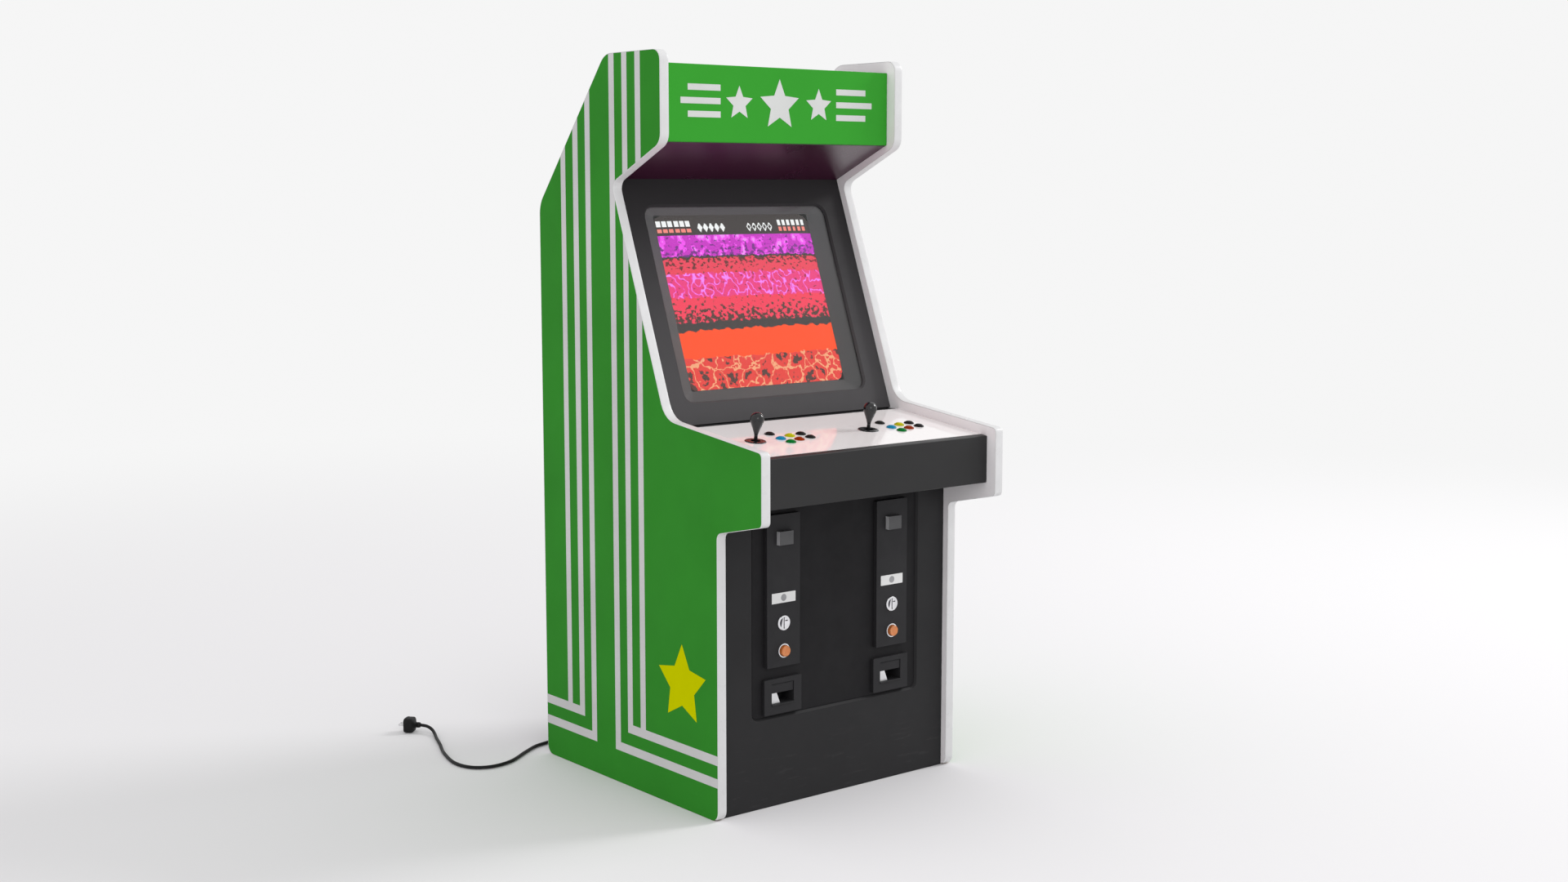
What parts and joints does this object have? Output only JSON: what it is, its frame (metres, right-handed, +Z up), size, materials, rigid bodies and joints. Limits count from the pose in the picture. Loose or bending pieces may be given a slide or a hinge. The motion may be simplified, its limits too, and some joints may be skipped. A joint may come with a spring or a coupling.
{
  "type": "upright arcade video game cabinet",
  "caption": "Upright arcade cabinet: shaped side panels, hooded marquee, sloping screen, joysticks and push buttons on a control shelf, hinged coin door and rear door, mains cord.",
  "frame": {"origin": "on the floor, midway across the width and the depth of the cabinet without its cord", "axes": "+X to the right as seen from the front, front faces -Y, +Z up"},
  "size_m": [0.9569, 1.274, 1.7016],
  "materials": {
    "side_green": "satin printed laminate",
    "trim_grey": "satin",
    "black_board": "satin laminate",
    "raw_board": "bare chipboard",
    "marquee_green": "satin print on acrylic",
    "hood_black": "satin laminate",
    "panel_white": "high-gloss laminate",
    "bezel_grey": "satin",
    "screen_glass": "clear",
    "mask_grey": "matte",
    "tube_glass": "dark glass",
    "door_black": "satin powder coat",
    "plate_black": "satin",
    "chrome": "polished",
    "reject_orange": "translucent gloss",
    "stick_black": "gloss",
    "base_black": "gloss",
    "steel": "plated",
    "housing_black": "gloss",
    "button_black": "gloss",
    "button_blue": "gloss",
    "button_yellow": "gloss",
    "button_green": "gloss",
    "button_red": "gloss",
    "lamp_white": "satin",
    "cash_box_grey": "satin",
    "board_green": "satin",
    "supply_steel": "zinc plated",
    "cord_rubber": "matte"
  },
  "bodies": {
    "cabinet": {"bezel_rail": "black_board", "bottom_board": "raw_board", "cash_box": "cash_box_grey", "control_panel_bottom": "black_board", "control_panel_front": "black_board", "control_panel_top": "panel_white", "game_board": "board_green", "hood_panel": "hood_black", "kick_panel": "black_board", "left_button_housings": "housing_black", "left_joystick_base": "base_black", "left_side_panel": "side_green", "left_t_moulding": "trim_grey", "marquee_lamp": "lamp_white", "marquee_panel": "marquee_green", "monitor_bezel": "bezel_grey", "picture_tube": "tube_glass", "power_cord": "cord_rubber", "power_plug": "cord_rubber", "power_supply": "supply_steel", "rear_panel": "black_board", "rear_slope_panel": "black_board", "right_button_housings": "housing_black", "right_joystick_base": "base_black", "right_side_panel": "side_green", "right_t_moulding": "trim_grey", "screen_glass": "screen_glass", "screen_mask": "mask_grey", "strain_relief": "cord_rubber", "top_board": "black_board"},
    "coin_door_assembly": {"coin_door": "door_black", "left_coin_mech": "plate_black", "left_coin_slot": "chrome", "left_coin_return": "plate_black", "right_coin_mech": "plate_black", "right_coin_slot": "chrome", "right_coin_return": "plate_black"},
    "rear_door": {"rear_door": "black_board"},
    "left_reject_button": {"left_reject_button": "reject_orange"},
    "left_return_flap": {"left_return_flap": "plate_black"},
    "right_reject_button": {"right_reject_button": "reject_orange"},
    "right_return_flap": {"right_return_flap": "plate_black"},
    "left_gimbal": {"left_joystick_gimbal": "steel"},
    "left_stick": {"left_joystick_handle": "stick_black"},
    "left_start_button": {"left_start_button": "button_black"},
    "left_button_1": {"left_button_1": "button_blue"},
    "left_button_2": {"left_button_2": "button_yellow"},
    "left_button_3": {"left_button_3": "button_black"},
    "left_button_4": {"left_button_4": "button_green"},
    "left_button_5": {"left_button_5": "button_red"},
    "left_button_6": {"left_button_6": "button_black"},
    "right_gimbal": {"right_joystick_gimbal": "steel"},
    "right_stick": {"right_joystick_handle": "stick_black"},
    "right_start_button": {"right_start_button": "button_black"},
    "right_button_1": {"right_button_1": "button_blue"},
    "right_button_2": {"right_button_2": "button_yellow"},
    "right_button_3": {"right_button_3": "button_black"},
    "right_button_4": {"right_button_4": "button_green"},
    "right_button_5": {"right_button_5": "button_red"},
    "right_button_6": {"right_button_6": "button_black"}
  },
  "joints": [
    {"name": "coin_door_hinge", "type": "hinge", "parent": "cabinet", "child": "coin_door_assembly", "pos_m": [-0.2466, -0.2525, 0.45], "axis": [0, 0, -1], "range_deg": [0, 95]},
    {"name": "rear_door_hinge", "type": "hinge", "parent": "cabinet", "child": "rear_door", "pos_m": [-0.2496, 0.415, 0.57], "axis": [0, 0, 1], "range_deg": [0, 100]},
    {"name": "left_reject_press", "type": "slide", "parent": "coin_door_assembly", "child": "left_reject_button", "axis": [0, 1, 0], "range_m": [0, 0.004], "stiffness_N_per_m": 300, "springref_m": -0.003},
    {"name": "left_flap_hinge", "type": "hinge", "parent": "coin_door_assembly", "child": "left_return_flap", "pos_m": [-0.1643, -0.259, 0.283], "axis": [1, 0, 0], "range_deg": [0, 70]},
    {"name": "right_reject_press", "type": "slide", "parent": "coin_door_assembly", "child": "right_reject_button", "axis": [0, 1, 0], "range_m": [0, 0.004], "stiffness_N_per_m": 300, "springref_m": -0.003},
    {"name": "right_flap_hinge", "type": "hinge", "parent": "coin_door_assembly", "child": "right_return_flap", "pos_m": [0.1633, -0.259, 0.283], "axis": [1, 0, 0], "range_deg": [0, 70]},
    {"name": "left_stick_forward", "type": "hinge", "parent": "cabinet", "child": "left_gimbal", "pos_m": [-0.2367, -0.25145, 0.81418], "axis": [1, 0, 0], "range_deg": [-8, 8], "stiffness_Nm_per_rad": 0.6},
    {"name": "left_stick_sideways", "type": "hinge", "parent": "left_gimbal", "child": "left_stick", "pos_m": [-0.2367, -0.25145, 0.81418], "axis": [0, 0.9928, 0.1195], "range_deg": [-8, 8], "stiffness_Nm_per_rad": 0.6},
    {"name": "left_start_button_press", "type": "slide", "parent": "cabinet", "child": "left_start_button", "axis": [0, 0.1195, -0.9928], "range_m": [0, 0.0025], "stiffness_N_per_m": 250, "springref_m": -0.002},
    {"name": "left_button_1_press", "type": "slide", "parent": "cabinet", "child": "left_button_1", "axis": [0, 0.1195, -0.9928], "range_m": [0, 0.0025], "stiffness_N_per_m": 250, "springref_m": -0.002},
    {"name": "left_button_2_press", "type": "slide", "parent": "cabinet", "child": "left_button_2", "axis": [0, 0.1195, -0.9928], "range_m": [0, 0.0025], "stiffness_N_per_m": 250, "springref_m": -0.002},
    {"name": "left_button_3_press", "type": "slide", "parent": "cabinet", "child": "left_button_3", "axis": [0, 0.1195, -0.9928], "range_m": [0, 0.0025], "stiffness_N_per_m": 250, "springref_m": -0.002},
    {"name": "left_button_4_press", "type": "slide", "parent": "cabinet", "child": "left_button_4", "axis": [0, 0.1195, -0.9928], "range_m": [0, 0.0025], "stiffness_N_per_m": 250, "springref_m": -0.002},
    {"name": "left_button_5_press", "type": "slide", "parent": "cabinet", "child": "left_button_5", "axis": [0, 0.1195, -0.9928], "range_m": [0, 0.0025], "stiffness_N_per_m": 250, "springref_m": -0.002},
    {"name": "left_button_6_press", "type": "slide", "parent": "cabinet", "child": "left_button_6", "axis": [0, 0.1195, -0.9928], "range_m": [0, 0.0025], "stiffness_N_per_m": 250, "springref_m": -0.002},
    {"name": "right_stick_forward", "type": "hinge", "parent": "cabinet", "child": "right_gimbal", "pos_m": [0.0954, -0.25145, 0.81418], "axis": [1, 0, 0], "range_deg": [-8, 8], "stiffness_Nm_per_rad": 0.6},
    {"name": "right_stick_sideways", "type": "hinge", "parent": "right_gimbal", "child": "right_stick", "pos_m": [0.0954, -0.25145, 0.81418], "axis": [0, 0.9928, 0.1195], "range_deg": [-8, 8], "stiffness_Nm_per_rad": 0.6},
    {"name": "right_start_button_press", "type": "slide", "parent": "cabinet", "child": "right_start_button", "axis": [0, 0.1195, -0.9928], "range_m": [0, 0.0025], "stiffness_N_per_m": 250, "springref_m": -0.002},
    {"name": "right_button_1_press", "type": "slide", "parent": "cabinet", "child": "right_button_1", "axis": [0, 0.1195, -0.9928], "range_m": [0, 0.0025], "stiffness_N_per_m": 250, "springref_m": -0.002},
    {"name": "right_button_2_press", "type": "slide", "parent": "cabinet", "child": "right_button_2", "axis": [0, 0.1195, -0.9928], "range_m": [0, 0.0025], "stiffness_N_per_m": 250, "springref_m": -0.002},
    {"name": "right_button_3_press", "type": "slide", "parent": "cabinet", "child": "right_button_3", "axis": [0, 0.1195, -0.9928], "range_m": [0, 0.0025], "stiffness_N_per_m": 250, "springref_m": -0.002},
    {"name": "right_button_4_press", "type": "slide", "parent": "cabinet", "child": "right_button_4", "axis": [0, 0.1195, -0.9928], "range_m": [0, 0.0025], "stiffness_N_per_m": 250, "springref_m": -0.002},
    {"name": "right_button_5_press", "type": "slide", "parent": "cabinet", "child": "right_button_5", "axis": [0, 0.1195, -0.9928], "range_m": [0, 0.0025], "stiffness_N_per_m": 250, "springref_m": -0.002},
    {"name": "right_button_6_press", "type": "slide", "parent": "cabinet", "child": "right_button_6", "axis": [0, 0.1195, -0.9928], "range_m": [0, 0.0025], "stiffness_N_per_m": 250, "springref_m": -0.002}
  ]
}
